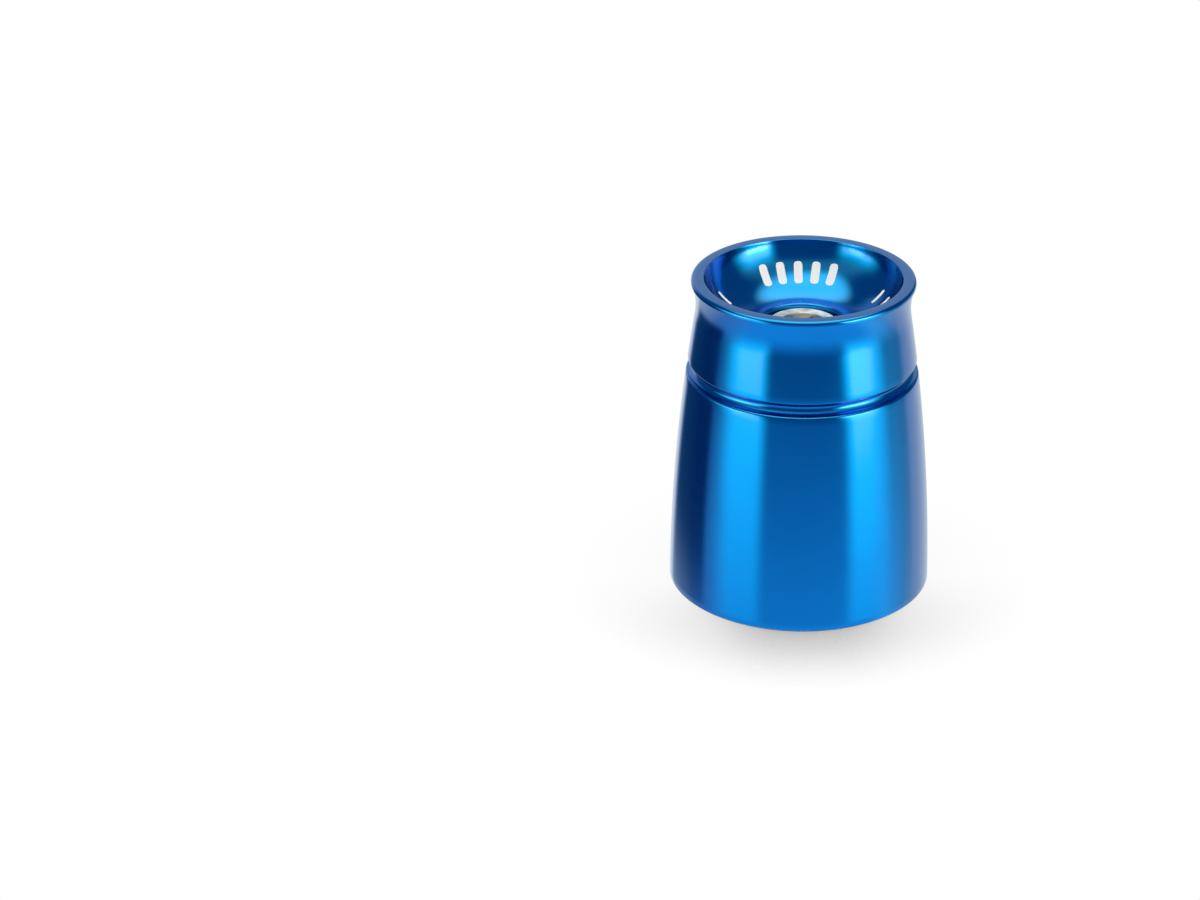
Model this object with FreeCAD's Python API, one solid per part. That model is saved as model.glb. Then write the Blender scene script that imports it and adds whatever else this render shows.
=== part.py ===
"""Handlebar end weight: a turned aluminium weight and the cap screw that holds it.

Units are millimetres. The origin is the centre of the wide flat face that seats against
the end of the handlebar. +Z is the turning axis and points to the dished outer end.
"""
import FreeCAD, Part
import math
import os

# Weight, outside
WEIGHT_LENGTH = 43.2
WIDE_END_DIAMETER = 35.0
NARROW_END_DIAMETER = 28.46
BARREL_BULGE = 0.7
WIDE_EDGE_BREAK = 0.15

# Neck and rim at the outer end
NECK_LENGTH = 5.2
RIM_DIAMETER = 29.48
RIM_THICKNESS = 0.6
RIM_STEP = 0.08
RIM_CHAMFER = 0.3

# Groove round the barrel, placed by its distance from the outer end
GROOVE_SETBACK = 12.2
GROOVE_RADIUS = 0.95
GROOVE_DEPTH = 0.75
GROOVE_EDGE_BREAK = 0.15

# Dish, counterbore and bore
DISH_DIAMETER = 26.1
DISH_DEPTH = 6.2
COUNTERBORE_CLEARANCE = 0.5
COUNTERBORE_CHAMFER = 0.3
HEAD_SUNK_BELOW_DISH = 0.2
BORE_CLEARANCE = 0.5
BORE_CHAMFER = 0.5

# Cap screw, M6 x 50 with a hexagon socket
SCREW_DIAMETER = 6.0
SCREW_LENGTH = 50.0
THREAD_LENGTH = 23.9
THREAD_DEPTH_ALLOWANCE = 0.06
THREAD_RUNOUT = 1.6
THREAD_RUNOUT_DIAMETER = 5.3
THREAD_RUNOUT_TAPER = 0.4
TIP_CHAMFER = 0.8
TIP_CHAMFER_ANGLE = 40.0
HEAD_DIAMETER = 10.0
HEAD_HEIGHT = 6.0
HEAD_CHAMFER = 0.5
UNDERHEAD_CHAMFER = 0.25
SOCKET_ACROSS_FLATS = 5.0
SOCKET_DEPTH = 3.0
SOCKET_ENTRY_CLEARANCE = 0.25
SOCKET_DRILL_POINT_ANGLE = 120.0

# Heights and radii that follow from the sizes above
wide_radius = WIDE_END_DIAMETER / 2
narrow_radius = NARROW_END_DIAMETER / 2
rim_radius = RIM_DIAMETER / 2
neck_start = WEIGHT_LENGTH - NECK_LENGTH
rim_underside = WEIGHT_LENGTH - RIM_THICKNESS
dish_floor = WEIGHT_LENGTH - DISH_DEPTH
screw_radius = SCREW_DIAMETER / 2
head_radius = HEAD_DIAMETER / 2
head_top = dish_floor - HEAD_SUNK_BELOW_DISH
head_seat = head_top - HEAD_HEIGHT
bore_radius = screw_radius + BORE_CLEARANCE
counterbore_radius = head_radius + COUNTERBORE_CLEARANCE
screw_tip = head_seat - SCREW_LENGTH


def point(radius, height):
    """Point of a half section, in the XZ plane."""
    return FreeCAD.Vector(radius, 0, height)


def line(start, end):
    return Part.LineSegment(start, end).toShape()


def arc(start, middle, end):
    return Part.Arc(start, middle, end).toShape()


def tangent_arc(start, direction, end):
    """Arc that leaves start along direction and ends at end."""
    along = FreeCAD.Vector(direction).normalize()
    chord = end - start
    across = chord - along * chord.dot(along)
    across.normalize()
    radius = chord.dot(chord) / (2 * chord.dot(across))
    centre = start + across * radius
    middle = centre + (((start - centre) + (end - centre)).normalize() * radius)
    return arc(start, middle, end)


def turned(edges):
    """Solid of revolution about Z from the edges of a closed half section."""
    face = Part.Face(Part.Wire(edges))
    return face.revolve(FreeCAD.Vector(0, 0, 0), FreeCAD.Vector(0, 0, 1), 360)


def arc_about(centre, start, end):
    """Arc of less than half a turn from start to end about centre."""
    bisector = (start - centre) + (end - centre)
    return arc(start, centre + bisector.normalize() * start.distanceToPoint(centre), end)


def barrel_circle():
    """Centre and radius of the arc that crowns the side of the barrel."""
    start = point(wide_radius, 0)
    end = point(narrow_radius, neck_start)
    middle = point((wide_radius + narrow_radius) / 2 + BARREL_BULGE, neck_start / 2)
    circle = Part.Circle(start, middle, end)
    return circle.Center, circle.Radius


def on_barrel_at(height, barrel_centre, barrel_radius):
    """Point of the barrel's side at a height."""
    rise = height - barrel_centre.z
    return point(barrel_centre.x + math.sqrt(barrel_radius**2 - rise**2), height)


def groove_edges(barrel_centre, barrel_radius):
    """Broken lower edge, round bottom and broken upper edge of the groove."""
    surface = on_barrel_at(WEIGHT_LENGTH - GROOVE_SETBACK, barrel_centre, barrel_radius)
    outward = (surface - barrel_centre).normalize()
    upward = FreeCAD.Vector(-outward.z, 0, outward.x)
    centre = surface + outward * (GROOVE_RADIUS - GROOVE_DEPTH)
    # Each break is the chord of a round that touches the barrel from inside and the groove
    reach = barrel_radius - GROOVE_EDGE_BREAK
    span = GROOVE_RADIUS + GROOVE_EDGE_BREAK
    distance = centre.distanceToPoint(barrel_centre)
    along = (reach**2 - span**2 + distance**2) / (2 * distance)
    across = math.sqrt(reach**2 - along**2)
    breaks = []
    for side in (-1, 1):
        round_centre = barrel_centre + outward * along + upward * across * side
        on_barrel = barrel_centre + (round_centre - barrel_centre) * (barrel_radius / reach)
        on_groove = centre + (round_centre - centre) * (GROOVE_RADIUS / span)
        breaks.append((on_barrel, on_groove))
    (low_barrel, low_groove), (high_barrel, high_groove) = breaks
    deepest = centre - outward * GROOVE_RADIUS
    return [
        line(low_barrel, low_groove),
        arc(low_groove, deepest, high_groove),
        line(high_groove, high_barrel),
    ], low_barrel, high_barrel


def rim_edges(neck_end):
    """Underside, side, chamfer and flat top of the rim, inwards as far as the bore."""
    lower_corner = point(rim_radius, rim_underside)
    chamfer_start = point(rim_radius, WEIGHT_LENGTH - RIM_CHAMFER)
    chamfer_end = point(rim_radius - RIM_CHAMFER, WEIGHT_LENGTH)
    return [
        line(neck_end, lower_corner),
        line(lower_corner, chamfer_start),
        line(chamfer_start, chamfer_end),
        line(chamfer_end, point(bore_radius, WEIGHT_LENGTH)),
    ]


def weight_blank():
    """Weight with its outside, groove and bore, before the dish is cut."""
    barrel_centre, barrel_radius = barrel_circle()
    groove, below_groove, above_groove = groove_edges(barrel_centre, barrel_radius)
    wide_face_edge = point(wide_radius - WIDE_EDGE_BREAK, 0)
    barrel_start = on_barrel_at(WIDE_EDGE_BREAK, barrel_centre, barrel_radius)
    barrel_end = point(narrow_radius, neck_start)
    end_normal = barrel_end - barrel_centre
    end_direction = FreeCAD.Vector(-end_normal.z, 0, end_normal.x)
    neck_end = point(rim_radius - RIM_STEP, rim_underside)
    bore_top = point(bore_radius, WEIGHT_LENGTH)
    bore_bottom = point(bore_radius, BORE_CHAMFER)
    chamfer_edge = point(bore_radius + BORE_CHAMFER, 0)
    return turned([
        line(wide_face_edge, barrel_start),
        arc_about(barrel_centre, barrel_start, below_groove),
        *groove,
        arc_about(barrel_centre, above_groove, barrel_end),
        tangent_arc(barrel_end, end_direction, neck_end),
        *rim_edges(neck_end),
        line(bore_top, bore_bottom),
        line(bore_bottom, chamfer_edge),
        line(chamfer_edge, wide_face_edge),
    ])


def dish_and_counterbore():
    """What is cut away for the bowl of the dish and for the head of the screw."""
    lip_radius = counterbore_radius + COUNTERBORE_CHAMFER
    lip_bottom = dish_floor - COUNTERBORE_CHAMFER
    bowl_start = point(lip_radius, dish_floor)
    bowl_end = point(DISH_DIAMETER / 2, WEIGHT_LENGTH)
    edges = [
        line(point(0, WEIGHT_LENGTH), point(0, head_seat)),
        line(point(0, head_seat), point(counterbore_radius, head_seat)),
        line(point(counterbore_radius, head_seat), point(counterbore_radius, lip_bottom)),
        line(point(counterbore_radius, lip_bottom), bowl_start),
        tangent_arc(bowl_start, FreeCAD.Vector(1, 0, 0), bowl_end),
        line(bowl_end, point(0, WEIGHT_LENGTH)),
    ]
    return turned(edges)


def weight_body():
    return weight_blank().cut(dish_and_counterbore())


def screw_blank():
    """Head and shank of the screw. The thread is a plain wall at its outer diameter."""
    thread_radius = screw_radius - THREAD_DEPTH_ALLOWANCE
    runout_radius = THREAD_RUNOUT_DIAMETER / 2
    thread_top = screw_tip + THREAD_LENGTH
    shank_bottom = thread_top + THREAD_RUNOUT
    tip_radius = thread_radius - TIP_CHAMFER * math.tan(math.radians(TIP_CHAMFER_ANGLE))
    corners = [
        point(0, screw_tip),
        point(tip_radius, screw_tip),
        point(thread_radius, screw_tip + TIP_CHAMFER),
        point(thread_radius, thread_top),
        point(runout_radius, thread_top + THREAD_RUNOUT_TAPER),
        point(runout_radius, shank_bottom - THREAD_RUNOUT_TAPER),
        point(screw_radius, shank_bottom),
        point(screw_radius, head_seat - UNDERHEAD_CHAMFER),
        point(screw_radius + UNDERHEAD_CHAMFER, head_seat),
        point(head_radius, head_seat),
        point(head_radius, head_top - HEAD_CHAMFER),
        point(head_radius - HEAD_CHAMFER, head_top),
        point(0, head_top),
    ]
    return turned([line(a, b) for a, b in zip(corners, corners[1:] + corners[:1])])


def hex_socket():
    """What is cut away for the hexagon socket: prism, drill point and round entry."""
    corner_radius = SOCKET_ACROSS_FLATS / 2 / math.cos(math.radians(30))
    socket_floor = head_top - SOCKET_DEPTH
    corners = []
    for corner in range(7):
        turn = math.radians(60 * corner)
        x = corner_radius * math.cos(turn)
        y = corner_radius * math.sin(turn)
        corners.append(FreeCAD.Vector(x, y, socket_floor))
    hexagon = Part.Face(Part.makePolygon(corners))
    prism = hexagon.extrude(FreeCAD.Vector(0, 0, SOCKET_DEPTH))
    flat_radius = SOCKET_ACROSS_FLATS / 2
    point_depth = flat_radius / math.tan(math.radians(SOCKET_DRILL_POINT_ANGLE / 2))
    drill_point = turned([
        line(point(0, socket_floor), point(0, socket_floor - point_depth)),
        line(point(0, socket_floor - point_depth), point(flat_radius, socket_floor)),
        line(point(flat_radius, socket_floor), point(0, socket_floor)),
    ])
    entry_radius = corner_radius + SOCKET_ENTRY_CLEARANCE
    entry_depth = entry_radius - flat_radius
    entry_bottom = FreeCAD.Vector(0, 0, head_top - entry_depth)
    entry = Part.makeCone(flat_radius, entry_radius, entry_depth, entry_bottom)
    return prism.fuse([drill_point, entry])


def cap_screw():
    return screw_blank().cut(hex_socket())


os.makedirs("parts", exist_ok=True)
weight_body().exportStep("parts/weight_body.step")
cap_screw().exportStep("parts/cap_screw.step")
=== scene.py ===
"""Looks of a handlebar end weight: blue anodised turned weight, cap screw and studio."""
import math

import bpy
from mathutils import Matrix, Vector


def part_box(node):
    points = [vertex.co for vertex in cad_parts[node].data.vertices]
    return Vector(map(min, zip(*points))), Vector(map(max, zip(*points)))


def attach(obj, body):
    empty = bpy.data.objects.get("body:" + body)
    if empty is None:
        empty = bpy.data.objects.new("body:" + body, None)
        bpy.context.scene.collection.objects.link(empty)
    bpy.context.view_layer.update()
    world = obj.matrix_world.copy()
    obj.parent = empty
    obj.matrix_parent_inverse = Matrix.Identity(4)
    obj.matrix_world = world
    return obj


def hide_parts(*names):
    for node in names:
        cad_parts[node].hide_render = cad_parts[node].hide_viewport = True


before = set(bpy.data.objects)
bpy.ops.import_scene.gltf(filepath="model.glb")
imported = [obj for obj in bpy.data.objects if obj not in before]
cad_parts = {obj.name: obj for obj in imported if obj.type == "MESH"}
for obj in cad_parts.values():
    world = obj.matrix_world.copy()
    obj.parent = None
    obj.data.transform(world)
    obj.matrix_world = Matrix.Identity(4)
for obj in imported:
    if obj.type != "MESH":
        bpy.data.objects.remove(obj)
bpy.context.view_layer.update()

MM = 0.001
ROOT = "root"

# Sizes read from the frame, in millimetres
_, weight_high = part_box("weight_body")
screw_low, screw_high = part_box("cap_screw")
length = weight_high.z / MM
wide_radius = weight_high.x / MM
screw_tip = screw_low.z / MM
head_top = screw_high.z / MM
head_radius = screw_high.x / MM

# Outside of the weight
NARROW_RADIUS = 14.23
BARREL_BULGE = 0.7
NECK_LENGTH = 5.2
WIDE_EDGE_ROUND = 0.15
RIM_RADIUS = 14.74
RIM_THICKNESS = 0.6
RIM_STEP = 0.08
RIM_ROUND = 0.42
RIM_INNER_ROUND = 0.08
GROOVE_SETBACK = 12.2
GROOVE_RADIUS = 0.84
GROOVE_DEPTH = 1.0
GROOVE_UPPER_ROUND = 0.18
GROOVE_LOWER_ROUND = 0.35

# Inside of the weight
DISH_RADIUS = 13.05
DISH_DEPTH = 6.2
COUNTERBORE_CLEARANCE = 0.5
COUNTERBORE_ROUND = 0.3
BORE_RADIUS = 3.5
BORE_CHAMFER = 0.5

# Cap screw
HEAD_HEIGHT = 6.0
HEAD_CHAMFER = 0.5
HEAD_EDGE_BREAK = 0.06
SEAT_EDGE_BREAK = 0.1
UNDERHEAD_ROUND = 0.25
SHANK_RADIUS = 3.0
SOCKET_FLAT_RADIUS = 2.5
SOCKET_ENTRY_CLEARANCE = 0.25
SOCKET_DEPTH = 3.0
SOCKET_DRILL_POINT_ANGLE = 120.0
DRILL_POINT_SHARE = 0.998
THREAD_RADIUS = 2.94
THREAD_PITCH = 1.0
THREAD_DEPTH = 0.58
THREAD_CREST_SHARE = 0.13
THREAD_FLANK_SHARE = 0.62
THREAD_ROOT_ROUNDING = 0.25
THREAD_LENGTH = 23.9
THREAD_RUNOUT = 1.6
RUNOUT_SHOULDER = 0.1
TIP_CHAMFER = 0.8
TIP_DROP = 0.67

# Index marks printed in the dish
MARK_PITCH = 12.0
FAR_MARKS = range(-2, 3)
SIDE_MARKS = (-9, -8, -7, -6, 6, 7, 8, 9)
MARK_INNER_RADIUS = 9.75
FAR_MARK_OUTER_RADIUS = 12.0
SIDE_MARK_OUTER_RADIUS = 11.5
FAR_MARK_WIDTH = 1.15
SIDE_MARK_WIDTH = 0.5
MARK_CORNER_SHARE = 0.35
MARK_COLUMNS = (-1, -0.5, 0, 0.5, 1)
INK_THICKNESS = 0.012

# Overhead lamp, as shares of its height above the object
OVERHEAD_HALF_WIDTH = 0.6
OVERHEAD_HALF_LENGTH = 0.74
OVERHEAD_OFFSET = 0.36
OVERHEAD_SKEW = -0.15
OVERHEAD_ASIDE = 0.07
OVERHEAD_TAPER = 0.5
OVERHEAD_LEVEL = 3.3

# Bright middles of the softboxes
RIGHT_CORE_LEVEL = 5.5
LEFT_CORE_LEVEL = 3.0

# Colours
ANODISED_DEEP = (0.0, 0.147, 0.49, 1)
ANODISED_PALE = (0.0, 0.153, 0.51, 1)
STEEL_DARK = (0.53, 0.50, 0.53, 1)
STEEL_LIGHT = (0.78, 0.74, 0.78, 1)
# Darker steel colour painted into the screw's socket as painted shade
STEEL_SOCKET_PAINTED_SHADE = (0.17, 0.165, 0.19, 1)
INK_DARK = (0.93, 0.94, 0.95, 1)
INK_LIGHT = (0.97, 0.98, 0.99, 1)
WHITE = (1, 1, 1, 1)

# Where painted shade darkens the screw in and round its socket, and where the weight's clear layer begins
SOCKET_PAINTED_SHADE_INNER = 3.0
SOCKET_PAINTED_SHADE_OUTER = 3.2
SOCKET_PAINTED_SHADE_RISE = 0.5
CLEAR_LAYER_FADE = 0.2

# White table, and the shadow on it from a little in front of the axis forwards
FLOOR_FADE_START = 440.0
FLOOR_RADIUS = 460.0
FLOOR_DROP = 0.02
SHADOW_REACH = 16.0
SHADOW_START = 0.0
SHADOW_END = -24.0
SHADOW_BEHIND = 0.15
SHADOW_IN_FRONT = 1.35
SHADOW_MIDDLE = 4.0
SHADOW_SIDE = 16.0
SHADOW_ASIDE = 0.6

# Fineness of the meshes
ROUND_STEPS = 336
SCREW_STEPS = 120
THREAD_ROWS_PER_TURN = 14
BARREL_STEPS = 36
BOWL_STEPS = 36
NECK_STEPS = 14
GROOVE_STEPS = 9
EDGE_STEPS = 6
FLOOR_STEPS = 96
AXIS_GAP = 0.01

# Camera, from the photograph: base centre is the origin
CAMERA_PLACE = Vector((-26.855, -405.691, 216.650)) * MM
CAMERA_PITCH = 26.045
CAMERA_ROLL = -0.62
CAMERA_LENS = 101.13
SENSOR_WIDTH = 36.0

head_seat = head_top - HEAD_HEIGHT
counterbore_radius = head_radius + COUNTERBORE_CLEARANCE
dish_floor = length - DISH_DEPTH
neck_start = length - NECK_LENGTH


def direction(angle):
    """Unit vector in the half section, from an angle in radians."""
    return Vector((math.cos(angle), math.sin(angle)))


class Outline:
    """Half section of a turned piece: points (radius, height) in millimetres."""

    def __init__(self, radius, height):
        self.points = [Vector((radius, height))]

    def line(self, radius, height, steps=1):
        start = self.points[-1]
        end = Vector((radius, height))
        for step in range(1, steps + 1):
            self.points.append(start.lerp(end, step / steps))

    def arc(self, centre, end, steps):
        """Arc about centre from the last point exactly to end, the short way round."""
        first = self.points[-1] - centre
        last = end - centre
        start_angle = math.atan2(first.y, first.x)
        turn = math.atan2(last.y, last.x) - start_angle
        turn = (turn + math.pi) % (2 * math.pi) - math.pi
        for step in range(1, steps + 1):
            share = step / steps
            radius = first.length + (last.length - first.length) * share
            self.points.append(centre + direction(start_angle + turn * share) * radius)

    def tangent_arc(self, along, end, steps):
        """Arc that leaves the last point along a direction and ends at end."""
        self.arc(tangent_centre(self.points[-1], along, end), end, steps)


def tangent_centre(start, along, end):
    """Centre of the arc that leaves start in the direction along and ends at end."""
    chord = end - start
    across = (chord - along * chord.dot(along)).normalized()
    return start + across * (chord.length_squared / (2 * chord.dot(across)))


def circle_through(a, b, c):
    """Centre and radius of the circle through three points of the half section."""
    ab = b - a
    ac = c - a
    cross = 2 * (ab.x * ac.y - ab.y * ac.x)
    x = (ac.y * ab.length_squared - ab.y * ac.length_squared) / cross
    y = (ab.x * ac.length_squared - ac.x * ab.length_squared) / cross
    offset = Vector((x, y))
    return a + offset, offset.length


def mesh_object(name, vertices, faces, sharp_angle=30):
    mesh = bpy.data.meshes.new(name)
    mesh.from_pydata([Vector(v) * MM for v in vertices], [], faces)
    mesh.validate()
    mesh.shade_smooth()
    mesh.set_sharp_from_angle(angle=math.radians(sharp_angle))
    piece = bpy.data.objects.new(name, mesh)
    bpy.context.scene.collection.objects.link(piece)
    return piece


def ring_grid(rings, steps, closed=False):
    """Vertices and faces of a surface made of rings, each a function of the angle to (radius, height)."""
    vertices = []
    for ring in rings:
        for step in range(steps):
            angle = 2 * math.pi * step / steps
            radius, height = ring(angle)
            vertices.append((radius * math.cos(angle), radius * math.sin(angle), height))
    faces = []
    count = len(rings)
    for row in range(count if closed else count - 1):
        above = (row + 1) % count
        for step in range(steps):
            after = (step + 1) % steps
            lower = row * steps
            upper = above * steps
            faces.append((lower + step, lower + after, upper + after, upper + step))
    return vertices, faces


def groove_rounds(outline, barrel_centre, barrel_radius):
    """Adds the round-bottomed groove, with rounded edges, to an outline that runs up the barrel."""
    height = length - GROOVE_SETBACK
    rise = height - barrel_centre.y
    surface = Vector((barrel_centre.x + math.sqrt(barrel_radius**2 - rise**2), height))
    outward = (surface - barrel_centre).normalized()
    upward = Vector((-outward.y, outward.x))
    bottom_centre = surface + outward * (GROOVE_RADIUS - GROOVE_DEPTH)
    wall = upward * GROOVE_RADIUS

    def edge_centre(side, edge_round):
        reach = barrel_radius - edge_round
        across = GROOVE_RADIUS + edge_round
        return barrel_centre + outward * math.sqrt(reach**2 - across**2) + upward * across * side

    def on_barrel(centre):
        return barrel_centre + (centre - barrel_centre).normalized() * barrel_radius

    low = edge_centre(-1, GROOVE_LOWER_ROUND)
    high = edge_centre(1, GROOVE_UPPER_ROUND)
    outline.arc(barrel_centre, on_barrel(low), BARREL_STEPS)
    outline.arc(low, low + upward * GROOVE_LOWER_ROUND, EDGE_STEPS)
    outline.line(*(bottom_centre - wall))
    outline.arc(bottom_centre, bottom_centre - outward * GROOVE_RADIUS, GROOVE_STEPS)
    outline.arc(bottom_centre, bottom_centre + wall, GROOVE_STEPS)
    outline.line(*(high - upward * GROOVE_UPPER_ROUND))
    outline.arc(high, on_barrel(high), EDGE_STEPS)


def dish_bowl():
    """Start, end and arc centre of the dish's bowl in the half section."""
    start = Vector((counterbore_radius + COUNTERBORE_ROUND, dish_floor))
    end = Vector((DISH_RADIUS, length))
    return start, end, tangent_centre(start, Vector((1, 0)), end)


def weight_outline():
    """Closed half section of the weight, from the bore out, up the side and down the dish."""
    wide_corner = Vector((wide_radius, 0))
    barrel_end = Vector((NARROW_RADIUS, neck_start))
    middle = Vector(((wide_radius + NARROW_RADIUS) / 2 + BARREL_BULGE, neck_start / 2))
    barrel_centre, barrel_radius = circle_through(wide_corner, middle, barrel_end)
    outline = Outline(BORE_RADIUS, BORE_CHAMFER)
    outline.line(BORE_RADIUS + BORE_CHAMFER, 0)
    outline.line(wide_radius - WIDE_EDGE_ROUND, 0, 6)
    round_centre = Vector((wide_radius - WIDE_EDGE_ROUND, WIDE_EDGE_ROUND))
    outline.arc(round_centre, Vector((wide_radius, WIDE_EDGE_ROUND)), 4)
    groove_rounds(outline, barrel_centre, barrel_radius)
    outline.arc(barrel_centre, barrel_end, 8)
    radial = (barrel_end - barrel_centre).normalized()
    neck_end = Vector((RIM_RADIUS - RIM_STEP, length - RIM_THICKNESS))
    outline.tangent_arc(Vector((-radial.y, radial.x)), neck_end, NECK_STEPS)
    outline.line(RIM_RADIUS, length - RIM_THICKNESS)
    outline.line(RIM_RADIUS, length - RIM_ROUND)
    rim_centre = Vector((RIM_RADIUS - RIM_ROUND, length - RIM_ROUND))
    outline.arc(rim_centre, Vector((RIM_RADIUS - RIM_ROUND, length)), 8)
    bowl_start, bowl_end, bowl_centre = dish_bowl()
    bowl_radius = (bowl_end - bowl_centre).length
    inner_height = length - RIM_INNER_ROUND
    reach = bowl_radius + RIM_INNER_ROUND
    inner_reach = math.sqrt(reach**2 - (inner_height - bowl_centre.y)**2)
    inner_centre = Vector((bowl_centre.x + inner_reach, inner_height))
    outline.line(inner_centre.x, length, 2)
    on_bowl = bowl_centre + (inner_centre - bowl_centre) * (bowl_radius / reach)
    outline.arc(inner_centre, on_bowl, EDGE_STEPS)
    outline.arc(bowl_centre, bowl_start, BOWL_STEPS)
    lip_centre = bowl_start - Vector((0, COUNTERBORE_ROUND))
    outline.arc(lip_centre, Vector((counterbore_radius, dish_floor - COUNTERBORE_ROUND)), 5)
    outline.line(counterbore_radius, head_seat, 3)
    outline.line(BORE_RADIUS, head_seat)
    outline.line(BORE_RADIUS, BORE_CHAMFER, 4)
    return outline.points[:-1]


def ring(radius, height):
    """A plain ring for ring_grid."""
    return lambda angle: (radius, height)


def make_weight():
    rings = [ring(p.x, p.y) for p in weight_outline()]
    vertices, faces = ring_grid(rings, ROUND_STEPS, closed=True)
    return mesh_object("turned_weight", vertices, faces)


def socket_wall(angle):
    """Distance of the hexagon's wall from the axis."""
    sixth = math.pi / 3
    return SOCKET_FLAT_RADIUS / math.cos((angle % sixth) - sixth / 2)


def socket_rings():
    """Hexagon socket, from its drill point up to its round entry."""
    entry = SOCKET_FLAT_RADIUS / math.cos(math.pi / 6) + SOCKET_ENTRY_CLEARANCE
    floor = head_top - SOCKET_DEPTH
    drill_depth = SOCKET_FLAT_RADIUS / math.tan(math.radians(SOCKET_DRILL_POINT_ANGLE / 2))
    rings = [ring(AXIS_GAP, floor - drill_depth), ring(SOCKET_FLAT_RADIUS * DRILL_POINT_SHARE, floor)]
    rings.append(lambda angle: (socket_wall(angle), floor))
    rings.append(lambda angle: (socket_wall(angle), head_top - (entry - socket_wall(angle))))
    rings.append(ring(entry, head_top))
    return rings, entry


def thread_radius(height, angle):
    """Radius of the threaded wall: crests, rounded roots, run-out and chamfered tip."""
    turn = (height / THREAD_PITCH - angle / (2 * math.pi)) % 1
    away_from_crest = abs(turn - 0.5) * 2
    slope = min(max((away_from_crest - THREAD_CREST_SHARE) / THREAD_FLANK_SHARE, 0), 1)
    smooth = slope * slope * (3 - 2 * slope)
    rounded = (1 - THREAD_ROOT_ROUNDING) * slope + THREAD_ROOT_ROUNDING * smooth
    thread_top = screw_tip + THREAD_LENGTH
    fade = min(max((thread_top + THREAD_RUNOUT - height) / THREAD_RUNOUT, 0), 1)
    threaded = THREAD_RADIUS - THREAD_DEPTH * rounded * fade
    cone = THREAD_RADIUS - TIP_DROP + (height - screw_tip) * TIP_DROP / TIP_CHAMFER
    return min(threaded, cone)


def thread_ring(height):
    return lambda angle: (thread_radius(height, angle), height)


def make_screw():
    """The whole cap screw as one surface of rings, from the socket round to the tip."""
    rings, entry = socket_rings()
    flat_edge = head_radius - HEAD_CHAMFER
    outline = Outline(entry, head_top)
    outline.line(flat_edge, head_top, 6)
    outline.line(head_radius - HEAD_EDGE_BREAK, head_top - HEAD_CHAMFER + HEAD_EDGE_BREAK, 3)
    outline.line(head_radius, head_top - HEAD_CHAMFER - HEAD_EDGE_BREAK)
    outline.line(head_radius, head_seat + SEAT_EDGE_BREAK, 4)
    outline.line(head_radius - SEAT_EDGE_BREAK, head_seat)
    outline.line(SHANK_RADIUS + UNDERHEAD_ROUND, head_seat)
    underhead = Vector((SHANK_RADIUS + UNDERHEAD_ROUND, head_seat - UNDERHEAD_ROUND))
    outline.arc(underhead, Vector((SHANK_RADIUS, head_seat - UNDERHEAD_ROUND)), 4)
    runout_top = screw_tip + THREAD_LENGTH + THREAD_RUNOUT
    outline.line(SHANK_RADIUS, runout_top + RUNOUT_SHOULDER, 4)
    rings += [ring(p.x, p.y) for p in outline.points[1:]]
    rows = round((runout_top - screw_tip) / THREAD_PITCH * THREAD_ROWS_PER_TURN)
    for row in range(rows + 1):
        rings.append(thread_ring(runout_top - (runout_top - screw_tip) * row / rows))
    rings.append(ring(AXIS_GAP, screw_tip))
    vertices, faces = ring_grid(rings, SCREW_STEPS)
    return mesh_object("socket_cap_screw", vertices, [f[::-1] for f in faces], sharp_angle=40)


def mark_patch(azimuth, width, outer_radius, steps=8):
    """Vertices and faces of one printed bar that lies on the bowl. Azimuth 0 is the far side."""
    _, bowl_end, centre = dish_bowl()
    bowl_radius = (bowl_end - centre).length - INK_THICKNESS
    inner_angle = math.asin((MARK_INNER_RADIUS - centre.x) / bowl_radius)
    outer_angle = math.asin((outer_radius - centre.x) / bowl_radius)
    vertices = []
    faces = []
    corner = width * MARK_CORNER_SHARE
    bar_length = bowl_radius * (outer_angle - inner_angle)
    for row in range(steps + 1):
        share = 0.5 - 0.5 * math.cos(math.pi * row / steps)
        along = inner_angle + (outer_angle - inner_angle) * share
        radius = centre.x + bowl_radius * math.sin(along)
        height = centre.y - bowl_radius * math.cos(along)
        from_end = min(share, 1 - share) * bar_length
        inset = max(corner - from_end, 0)
        half = width / 2 - (corner - math.sqrt(max(corner**2 - inset**2, 0)))
        for side in MARK_COLUMNS:
            turn = math.radians(azimuth) + side * half / radius
            vertices.append((radius * math.sin(turn), radius * math.cos(turn), height))
    columns = len(MARK_COLUMNS)
    for row in range(steps):
        for column in range(columns - 1):
            first = row * columns + column
            faces.append((first, first + 1, first + columns + 1, first + columns))
    return vertices, faces


def make_marks():
    """All printed bars of the dish, as one piece."""
    vertices = []
    faces = []
    bars = [(n, FAR_MARK_WIDTH, FAR_MARK_OUTER_RADIUS) for n in FAR_MARKS]
    bars += [(n, SIDE_MARK_WIDTH, SIDE_MARK_OUTER_RADIUS) for n in SIDE_MARKS]
    for number, width, outer_radius in bars:
        new_vertices, new_faces = mark_patch(number * MARK_PITCH, width, outer_radius)
        first = len(vertices)
        vertices += new_vertices
        faces += [tuple(first + i for i in face) for face in new_faces]
    return mesh_object("dish_index_marks", vertices, faces)


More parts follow.
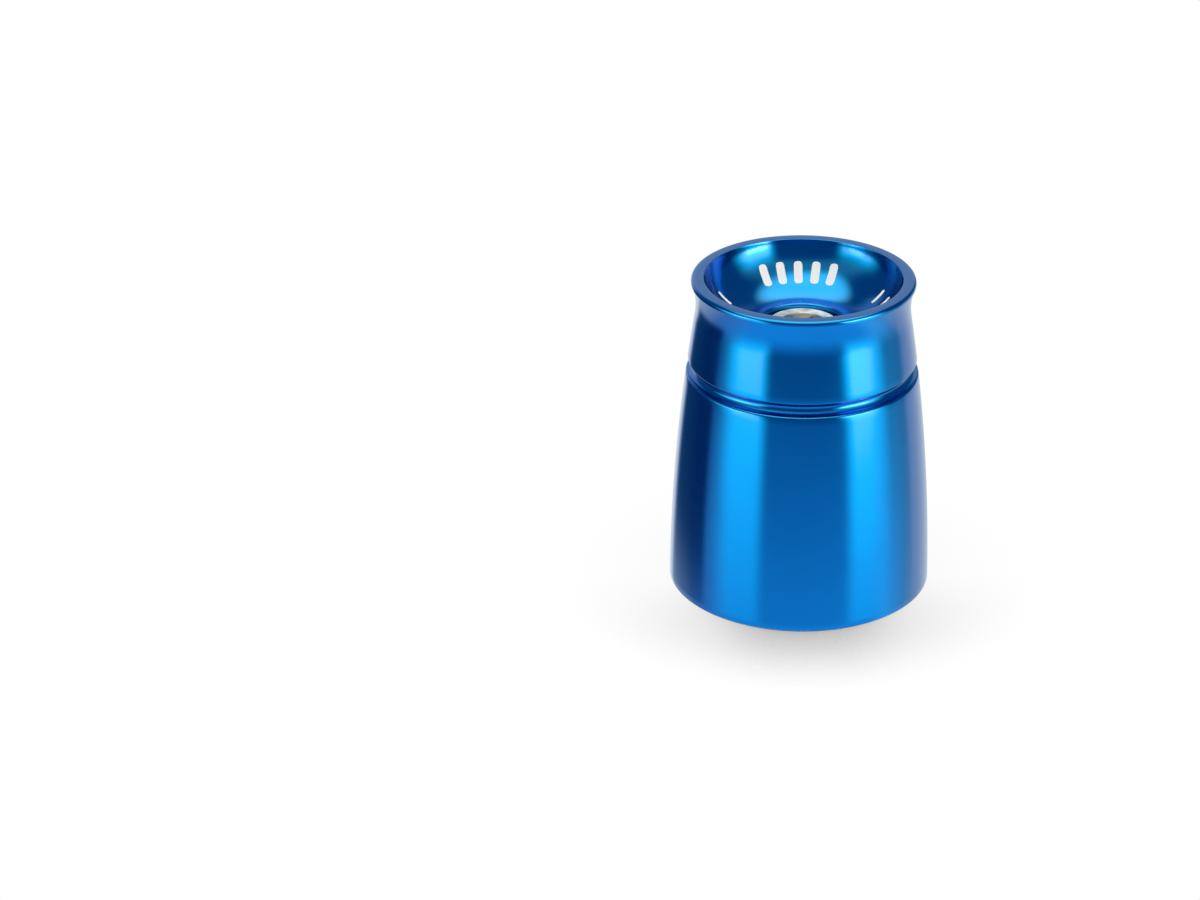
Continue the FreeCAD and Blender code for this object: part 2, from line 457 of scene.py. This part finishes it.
class Shader:
    """A material or world node tree, with short calls for the nodes used here."""

    def __init__(self, owner):
        owner.use_nodes = True
        self.nodes = owner.node_tree.nodes
        self.links = owner.node_tree.links
        self.nodes.clear()

    def add(self, kind, **settings):
        node = self.nodes.new(kind)
        for name, value in settings.items():
            setattr(node, name, value)
        return node

    def put(self, value, socket):
        """Links an output or sets a plain value."""
        if isinstance(value, bpy.types.NodeSocket):
            self.links.new(value, socket)
        else:
            socket.default_value = value

    def math(self, operation, *values):
        node = self.add("ShaderNodeMath", operation=operation)
        for value, socket in zip(values, node.inputs):
            self.put(value, socket)
        return node.outputs[0]

    def times(self, first, second):
        return self.math("MULTIPLY", first, second)

    def plus(self, first, second):
        return self.math("ADD", first, second)

    def minus(self, first, second):
        return self.math("SUBTRACT", first, second)

    def from_axis(self, x, y):
        """Distance from the turning axis."""
        return self.math("SQRT", self.plus(self.times(x, x), self.times(y, y)))

    def place(self, kind):
        """Texture coordinate of a kind, as one vector and as its three parts."""
        vector = self.add("ShaderNodeTexCoord").outputs[kind]
        split = self.add("ShaderNodeSeparateXYZ")
        self.put(vector, split.inputs[0])
        return vector, split.outputs

    def blend(self, share, first, second):
        """Mix of two colours, each plain or linked."""
        node = self.add("ShaderNodeMix", data_type="RGBA")
        self.put(share, node.inputs["Factor"])
        self.put(first, node.inputs["A"])
        self.put(second, node.inputs["B"])
        return node.outputs["Result"]

    def show(self, node, kind="ShaderNodeOutputMaterial"):
        """Sends a shader node to the output."""
        output = self.add(kind)
        self.put(node.outputs[0], output.inputs["Surface"])

    def show_mix(self, share, first, second, kind="ShaderNodeOutputMaterial"):
        """Sends the mix of two shader nodes to the output."""
        mix = self.add("ShaderNodeMixShader")
        self.put(share, mix.inputs[0])
        self.put(first.outputs[0], mix.inputs[1])
        self.put(second.outputs[0], mix.inputs[2])
        self.show(mix, kind)

    def ramp(self, value, start, end, low=0.0, high=1.0):
        """Smooth step of value from low at start to high at end."""
        node = self.add("ShaderNodeMapRange", interpolation_type="SMOOTHSTEP")
        self.put(value, node.inputs["Value"])
        if start < end:
            edges = (start, end, low, high)
        else:
            edges = (end, start, high, low)
        for name, edge in zip(("From Min", "From Max", "To Min", "To Max"), edges):
            node.inputs[name].default_value = edge
        return node.outputs[0]

    def window(self, value, start, end, soft):
        """One between start and end, falling smoothly to nothing outside."""
        rise = self.ramp(value, start - soft, start + soft)
        fall = self.ramp(value, end + soft, end - soft)
        return self.times(rise, fall)


def turned_coordinates(shader, radius, height):
    """Vector that changes only along a turned section, so that its noise makes rings round the axis."""
    joined = shader.add("ShaderNodeCombineXYZ")
    shader.put(radius, joined.inputs["X"])
    shader.put(height, joined.inputs["Y"])
    return joined.outputs[0]


def noise(shader, vector, scale, detail=2.0, roughness=0.5):
    node = shader.add("ShaderNodeTexNoise")
    shader.put(vector, node.inputs["Vector"])
    node.inputs["Scale"].default_value = scale
    node.inputs["Detail"].default_value = detail
    node.inputs["Roughness"].default_value = roughness
    return node.outputs["Fac"]


def anodised_material():
    """Blue anodised aluminium with fine turning rings."""
    material = bpy.data.materials.new("blue_anodised_turned")
    shader = Shader(material)
    surface = shader.add("ShaderNodeBsdfPrincipled")
    place, (x, y, z) = shader.place("Object")
    radius = shader.from_axis(x, y)
    rings = noise(shader, turned_coordinates(shader, radius, z), 7000.0, detail=1.0)
    cloud = noise(shader, place, 150.0)
    colour = shader.blend(shader.ramp(cloud, 0.3, 0.7), ANODISED_DEEP, ANODISED_PALE)
    shader.put(colour, surface.inputs["Base Color"])
    shader.put(shader.ramp(rings, 0.3, 0.7, 0.145, 0.175), surface.inputs["Roughness"])
    surface.inputs["Metallic"].default_value = 1.0
    surface.inputs["Anisotropic"].default_value = 0.6
    surface.inputs["Anisotropic Rotation"].default_value = 0.25
    # The clear oxide layer shows most at a slant, and on the outside of the weight
    slant = shader.add("ShaderNodeLayerWeight").outputs["Facing"]
    outside = shader.ramp(radius, (DISH_RADIUS - CLEAR_LAYER_FADE) * MM, DISH_RADIUS * MM)
    clear = shader.times(shader.ramp(slant, 0.44, 0.62), outside)
    shader.put(shader.ramp(clear, 0.0, 1.0, 0.22, 1.0), surface.inputs["Coat Weight"])
    surface.inputs["Coat Roughness"].default_value = 0.06
    surface.inputs["Coat IOR"].default_value = 1.5
    tangent = shader.add("ShaderNodeTangent", direction_type="RADIAL", axis="Z")
    shader.put(tangent.outputs[0], surface.inputs["Tangent"])
    shader.show(surface)
    return material


def screw_material():
    """Bright plated steel, a little nicked and cloudy, with painted shade in and round its socket."""
    material = bpy.data.materials.new("bright_plated_steel")
    shader = Shader(material)
    surface = shader.add("ShaderNodeBsdfPrincipled")
    place, (x, y, z) = shader.place("Object")
    cloud = noise(shader, place, 700.0, detail=4.0)
    nicks = noise(shader, place, 2600.0, detail=3.0, roughness=0.65)
    plating = shader.blend(shader.ramp(cloud, 0.35, 0.65), STEEL_DARK, STEEL_LIGHT)
    # Painted shade: the steel colour is darkened in and round the socket, where shade falls
    painted_socket_shade = shader.ramp(shader.from_axis(x, y), SOCKET_PAINTED_SHADE_OUTER * MM, SOCKET_PAINTED_SHADE_INNER * MM)
    above_seat = shader.ramp(z, head_seat * MM, (head_seat + SOCKET_PAINTED_SHADE_RISE) * MM)
    colour = shader.blend(shader.times(painted_socket_shade, above_seat), plating, STEEL_SOCKET_PAINTED_SHADE)
    shader.put(colour, surface.inputs["Base Color"])
    shader.put(shader.ramp(cloud, 0.3, 0.7, 0.36, 0.46), surface.inputs["Roughness"])
    surface.inputs["Metallic"].default_value = 0.85
    bump = shader.add("ShaderNodeBump")
    bump.inputs["Strength"].default_value = 0.35
    bump.inputs["Distance"].default_value = 1.5e-5
    shader.put(nicks, bump.inputs["Height"])
    shader.put(bump.outputs[0], surface.inputs["Normal"])
    shader.show(surface)
    return material


def ink_material():
    """Flat white printing ink with a slight mottle."""
    material = bpy.data.materials.new("white_ink")
    shader = Shader(material)
    surface = shader.add("ShaderNodeBsdfPrincipled")
    place, _ = shader.place("Object")
    mottle = noise(shader, place, 3000.0)
    shader.put(shader.blend(mottle, INK_DARK, INK_LIGHT), surface.inputs["Base Color"])
    shader.put(shader.ramp(mottle, 0.3, 0.7, 0.5, 0.6), surface.inputs["Roughness"])
    shader.show(surface)
    return material


def white_surfaces(shader, azimuth, elevation):
    """White table, dimmer at the sides, a low board on the right, and the backdrop behind."""
    aside = shader.ramp(shader.math("ABSOLUTE", azimuth), 130, 60, 0.4, 1.0)
    table = shader.times(shader.ramp(elevation, 2, -38, 0.0, 1.2), aside)
    board = shader.ramp(elevation, 1, -19, 0.0, 0.56)
    board = shader.times(shader.ramp(azimuth, 98, 122), board)
    lean = shader.ramp(elevation, -12, 0, 0, 16)
    rear = shader.times(shader.ramp(azimuth, 146, 165), 0.78)
    rear = shader.plus(rear, shader.ramp(shader.minus(azimuth, lean), -150, -161))
    rear = shader.times(rear, shader.ramp(elevation, 42, 30))
    rear = shader.times(rear, shader.ramp(elevation, 20, -20, 0.5, 0.72))
    return shader.math("MAXIMUM", shader.math("MAXIMUM", table, rear), board)


def softboxes(shader, azimuth, elevation):
    """Two softboxes in front with bright middles, and a dim fill beside the right one."""
    # Both lean to the left further up, the outer edge of the left one most
    lean = shader.ramp(elevation, -10, 4, 0, 7)
    leaning = shader.plus(azimuth, lean)
    left_box = shader.ramp(shader.plus(leaning, lean), -94, -66)
    left_box = shader.times(left_box, shader.ramp(leaning, -32, -46))
    left_box = shader.times(left_box, shader.ramp(elevation, 36, 0, 0.0, 4.0))
    right_box = shader.times(shader.ramp(azimuth, 92, 62), shader.ramp(leaning, 34, 50))
    right_box = shader.times(right_box, shader.ramp(elevation, 44, 8, 0.0, 5.0))
    boxes = shader.times(shader.plus(left_box, right_box), shader.ramp(elevation, -36, 2))
    fill = shader.times(shader.ramp(azimuth, 128, 90), shader.ramp(azimuth, 64, 84))
    fill = shader.times(fill, shader.ramp(elevation, -4, -14, 0.0, 0.6))
    right_core = shader.times(shader.window(azimuth, 37, 66, 5), RIGHT_CORE_LEVEL)
    left_core = shader.times(shader.window(azimuth, -76, -57, 4), LEFT_CORE_LEVEL)
    band = shader.times(shader.ramp(elevation, 13, 4), shader.ramp(elevation, -5, 1))
    core = shader.times(shader.plus(right_core, left_core), band)
    return shader.plus(shader.plus(boxes, fill), core)


def overhead_lamp(shader, x, y, z, elevation):
    """Tapered ellipse on a plane above the object, with a lit ceiling in front of it."""
    height = shader.math("MAXIMUM", z, 0.05)
    right = shader.math("DIVIDE", x, height)
    back = shader.math("DIVIDE", y, height)
    across = shader.plus(right, shader.times(back, OVERHEAD_SKEW))
    taper = shader.plus(shader.times(back, OVERHEAD_TAPER), 1.0)
    across = shader.times(shader.plus(across, OVERHEAD_ASIDE), taper)
    across = shader.math("DIVIDE", across, OVERHEAD_HALF_WIDTH)
    away = shader.math("DIVIDE", shader.minus(back, OVERHEAD_OFFSET), OVERHEAD_HALF_LENGTH)
    square = shader.plus(shader.times(across, across), shader.times(away, away))
    lamp = shader.ramp(square, 1.8, 0.4, 0.0, OVERHEAD_LEVEL)
    ceiling = shader.ramp(elevation, 20, 32, 0.0, 0.75)
    ceiling = shader.times(shader.window(back, -1.2, -0.1, 0.35), ceiling)
    return shader.plus(lamp, ceiling)


def studio_colour(shader, azimuth, white, boxes, overhead, flag):
    """Colour of the studio. The softboxes lose red where they are dim, and the room is a dim blue."""
    open_share = shader.minus(1.0, flag)
    boxes = shader.times(boxes, open_share)
    white = shader.times(white, open_share)
    lamps = shader.plus(boxes, overhead)
    unlit = shader.math("MAXIMUM", shader.minus(1.0, shader.plus(white, lamps)), 0.0)
    room = shader.times(unlit, shader.ramp(flag, 0, 1, 0.25, 0.14))
    warmth = shader.ramp(boxes, 2.4, 3.4, 0.2, 2.0)
    warmth = shader.plus(warmth, shader.ramp(boxes, 4.5, 8, 0.0, 1.6))
    red = shader.plus(shader.times(boxes, warmth), overhead)
    sides = shader.ramp(shader.math("ABSOLUTE", azimuth), 60, 90, 0.4, 1.0)
    red = shader.plus(red, shader.times(white, sides))
    red = shader.plus(red, shader.times(room, 0.05))
    green_share = shader.ramp(flag, 0, 1, 0.8, 0.5)
    green = shader.plus(shader.plus(lamps, white), shader.times(room, green_share))
    blue = shader.plus(shader.times(boxes, 0.7), shader.times(overhead, 0.68))
    blue = shader.plus(blue, shader.times(white, 1.08))
    blue = shader.plus(blue, shader.times(room, 1.2))
    joined = shader.add("ShaderNodeCombineColor")
    for channel, level in (("Red", red), ("Green", green), ("Blue", blue)):
        shader.put(level, joined.inputs[channel])
    return joined.outputs[0]


def make_world():
    """Studio that the object mirrors. The camera and diffuse light see plain white instead."""
    world = bpy.data.worlds.new("studio")
    bpy.context.scene.world = world
    shader = Shader(world)
    _, (x, y, z) = shader.place("Generated")
    # In degrees. Azimuth 0 is the front, -Y, and grows towards +X. Elevation 0 is the horizon
    degree = 180 / math.pi
    azimuth = shader.times(shader.math("ARCTAN2", x, shader.times(y, -1.0)), degree)
    elevation = shader.times(shader.math("ARCSINE", z), degree)
    # Black flag that keeps light from the left side
    flag = shader.times(shader.window(azimuth, -152, -96, 5), shader.window(elevation, -27, -10, 3))
    white = white_surfaces(shader, azimuth, elevation)
    boxes = softboxes(shader, azimuth, elevation)
    overhead = overhead_lamp(shader, x, y, z, elevation)
    studio = shader.add("ShaderNodeBackground")
    light = studio_colour(shader, azimuth, white, boxes, overhead, flag)
    shader.put(light, studio.inputs["Color"])
    plain = shader.add("ShaderNodeBackground")
    plain.inputs["Color"].default_value = WHITE
    plain.inputs["Strength"].default_value = 1.0
    path = shader.add("ShaderNodeLightPath").outputs
    seen = shader.math("MAXIMUM", path["Is Camera Ray"], path["Is Transmission Ray"])
    seen = shader.math("MAXIMUM", seen, path["Is Diffuse Ray"])
    shader.show_mix(seen, studio, plain, "ShaderNodeOutputWorld")


def floor_material():
    """White table for the camera, with the object's shadow, that fades out into the white round it."""
    material = bpy.data.materials.new("white_table")
    shader = Shader(material)
    _, (x, y, _) = shader.place("Object")
    near = shader.ramp(shader.from_axis(x, y), FLOOR_RADIUS * MM, FLOOR_FADE_START * MM)
    occlusion = shader.add("ShaderNodeAmbientOcclusion", samples=3)
    occlusion.inputs["Distance"].default_value = SHADOW_REACH * MM
    covered = shader.minus(1.0, occlusion.outputs["AO"])
    frontal = shader.ramp(y, SHADOW_START * MM, SHADOW_END * MM, SHADOW_BEHIND, SHADOW_IN_FRONT)
    aside = shader.math("ABSOLUTE", x)
    central = shader.ramp(aside, SHADOW_SIDE * MM, SHADOW_MIDDLE * MM, SHADOW_ASIDE, 1.0)
    shade = shader.times(covered, shader.times(frontal, central))
    white = shader.add("ShaderNodeEmission")
    white.inputs["Color"].default_value = WHITE
    shader.put(shader.minus(1.0, shade), white.inputs["Strength"])
    clear = shader.add("ShaderNodeBsdfTransparent")
    path = shader.add("ShaderNodeLightPath").outputs
    shader.show_mix(shader.times(near, path["Is Camera Ray"]), clear, white)
    return material


def make_floor():
    """Floor at the wide face, with a way through for the screw."""
    rings = [ring(BORE_RADIUS + BORE_CHAMFER, 0), ring(FLOOR_RADIUS, 0)]
    vertices, faces = ring_grid(rings, FLOOR_STEPS)
    floor = mesh_object("floor", vertices, faces)
    floor.location.z = -FLOOR_DROP * MM
    floor.data.materials.append(floor_material())


def make_camera():
    data = bpy.data.cameras.new("camera")
    data.sensor_width = SENSOR_WIDTH
    data.lens = CAMERA_LENS
    data.clip_start = 0.01
    camera = bpy.data.objects.new("camera", data)
    tilt = Matrix.Rotation(math.radians(90 - CAMERA_PITCH), 4, "X")
    roll = Matrix.Rotation(math.radians(CAMERA_ROLL), 4, "Z")
    camera.matrix_world = Matrix.Translation(CAMERA_PLACE) @ tilt @ roll
    bpy.context.scene.collection.objects.link(camera)
    bpy.context.scene.camera = camera


def dress(piece, material, replaced=None):
    piece.data.materials.append(material)
    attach(piece, ROOT)
    if replaced:
        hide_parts(replaced)


bpy.context.scene.view_settings.view_transform = "Standard"
dress(make_weight(), anodised_material(), "weight_body")
dress(make_screw(), screw_material(), "cap_screw")
dress(make_marks(), ink_material())
make_world()
make_floor()
make_camera()
